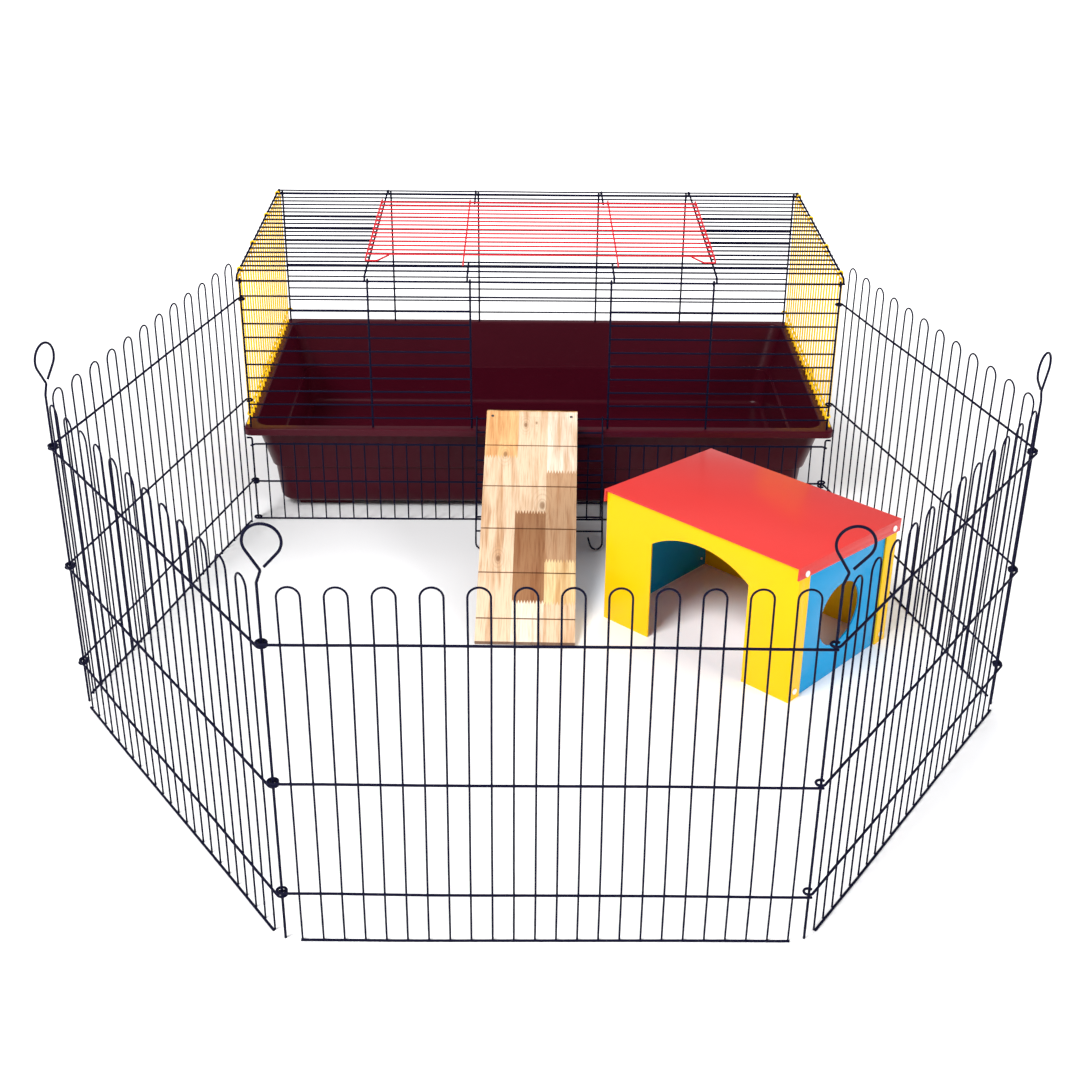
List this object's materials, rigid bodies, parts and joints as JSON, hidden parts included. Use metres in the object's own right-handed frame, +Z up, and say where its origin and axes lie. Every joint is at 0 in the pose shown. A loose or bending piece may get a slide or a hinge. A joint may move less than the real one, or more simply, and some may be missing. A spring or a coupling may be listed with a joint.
{
  "type": "pet playpen",
  "caption": "Wire cage on a plastic tray with a folding wire run at its front, opening doors, a wooden ramp and a small painted house.",
  "frame": {"origin": "on the floor, in the middle of the whole pen's outline", "axes": "+X to the right as seen from the run's front panel, +Y from the run's front panel to the back of the cage, +Z up"},
  "size_m": [1.303, 1.6136, 0.539],
  "materials": {
    "tray_plastic": "glossy moulded plastic",
    "clip_plastic": "glossy moulded plastic",
    "wire_navy": "semi-gloss powder coat",
    "wire_yellow": "semi-gloss powder coat",
    "wire_red": "semi-gloss powder coat",
    "steel_pin": "bright drawn steel",
    "ramp_wood": "planed, unvarnished finger-jointed pine",
    "batten_wood": "planed, unvarnished",
    "nail_steel": "dull steel",
    "sheet_yellow": "high gloss paint",
    "sheet_blue": "high gloss paint",
    "sheet_red": "high gloss paint",
    "screw_white": "gloss paint"
  },
  "bodies": {
    "base": {"tray": "tray_plastic", "front_grille": "wire_navy", "rear_grille": "wire_navy", "roof_grille": "wire_navy", "side_grille_left": "wire_yellow", "side_grille_right": "wire_yellow", "clip_pin_left": "steel_pin", "clip_pin_right": "steel_pin", "skirt_grille": "wire_navy", "skirt_pin_left": "wire_navy", "skirt_pin_right": "wire_navy"},
    "left_rear_panel": {"panel_left_rear": "wire_navy"},
    "left_stake": {"stake_left": "wire_navy"},
    "left_front_panel": {"panel_left_front": "wire_navy"},
    "front_left_stake": {"stake_front_left": "wire_navy"},
    "gate_panel": {"panel_front": "wire_navy"},
    "right_rear_panel": {"panel_right_rear": "wire_navy"},
    "right_stake": {"stake_right": "wire_navy"},
    "right_front_panel": {"panel_right_front": "wire_navy"},
    "front_right_stake": {"stake_front_right": "wire_navy"},
    "roof_lid": {"roof_door": "wire_red"},
    "door": {"front_door": "wire_navy"},
    "ramp": {"ramp_board": "ramp_wood", "ramp_batten": "batten_wood", "ramp_nails": "nail_steel"},
    "house": {"house_front": "sheet_yellow", "house_back": "sheet_yellow", "house_side_left": "sheet_blue", "house_side_right": "sheet_blue", "house_roof": "sheet_red", "house_screws": "screw_white"},
    "left_clip": {"tray_clip_left": "clip_plastic"},
    "right_clip": {"tray_clip_right": "clip_plastic"}
  },
  "joints": [
    {"name": "left_rear_fold", "type": "hinge", "parent": "base", "child": "left_rear_panel", "pos_m": [-0.48892, 0.27164, 0], "axis": [0, 0, -1], "range_deg": [0, 75]},
    {"name": "left_front_fold", "type": "hinge", "parent": "left_rear_panel", "child": "left_front_panel", "pos_m": [-0.64372, -0.30805, 0], "axis": [0, 0, -1], "range_deg": [0, 60]},
    {"name": "gate_fold", "type": "hinge", "parent": "left_front_panel", "child": "gate_panel", "pos_m": [-0.3, -0.79984, 0], "axis": [0, 0, -1], "range_deg": [0, 100]},
    {"name": "right_rear_fold", "type": "hinge", "parent": "base", "child": "right_rear_panel", "pos_m": [0.48892, 0.27164, 0], "axis": [0, 0, 1], "range_deg": [0, 75]},
    {"name": "right_front_fold", "type": "hinge", "parent": "right_rear_panel", "child": "right_front_panel", "pos_m": [0.64372, -0.30805, 0], "axis": [0, 0, 1], "range_deg": [0, 100]},
    {"name": "left_stake_lift", "type": "slide", "parent": "left_rear_panel", "child": "left_stake", "axis": [0, 0, 1], "range_m": [0, 0.48]},
    {"name": "front_left_stake_lift", "type": "slide", "parent": "left_front_panel", "child": "front_left_stake", "axis": [0, 0, 1], "range_m": [0, 0.48]},
    {"name": "front_right_stake_lift", "type": "slide", "parent": "right_front_panel", "child": "front_right_stake", "axis": [0, 0, 1], "range_m": [0, 0.48]},
    {"name": "right_stake_lift", "type": "slide", "parent": "right_rear_panel", "child": "right_stake", "axis": [0, 0, 1], "range_m": [0, 0.48]},
    {"name": "roof_door_open", "type": "hinge", "parent": "base", "child": "roof_lid", "pos_m": [0, 0.70094, 0.44], "axis": [-1, 0, 0], "range_deg": [0, 160]},
    {"name": "front_door_close", "type": "hinge", "parent": "base", "child": "door", "pos_m": [0, 0.26904, 0.1904], "axis": [-1, 0, 0], "range_deg": [0, 149]},
    {"name": "ramp_away", "type": "slide", "parent": "base", "child": "ramp", "axis": [0, -1, 0], "range_m": [0, 0.6]},
    {"name": "house_lift", "type": "slide", "parent": "base", "child": "house", "axis": [0, 0, 1], "range_m": [0, 0.35]},
    {"name": "left_clip_open", "type": "hinge", "parent": "base", "child": "left_clip", "pos_m": [-0.50423, 0.53399, 0.165], "axis": [0, -1, 0], "range_deg": [0, 55]},
    {"name": "right_clip_open", "type": "hinge", "parent": "base", "child": "right_clip", "pos_m": [0.50423, 0.53399, 0.165], "axis": [0, 1, 0], "range_deg": [0, 55]}
  ],
  "couplings": [
    {"joint": "ramp_away", "follows": "front_door_close", "m_per_rad": 0.229}
  ]
}
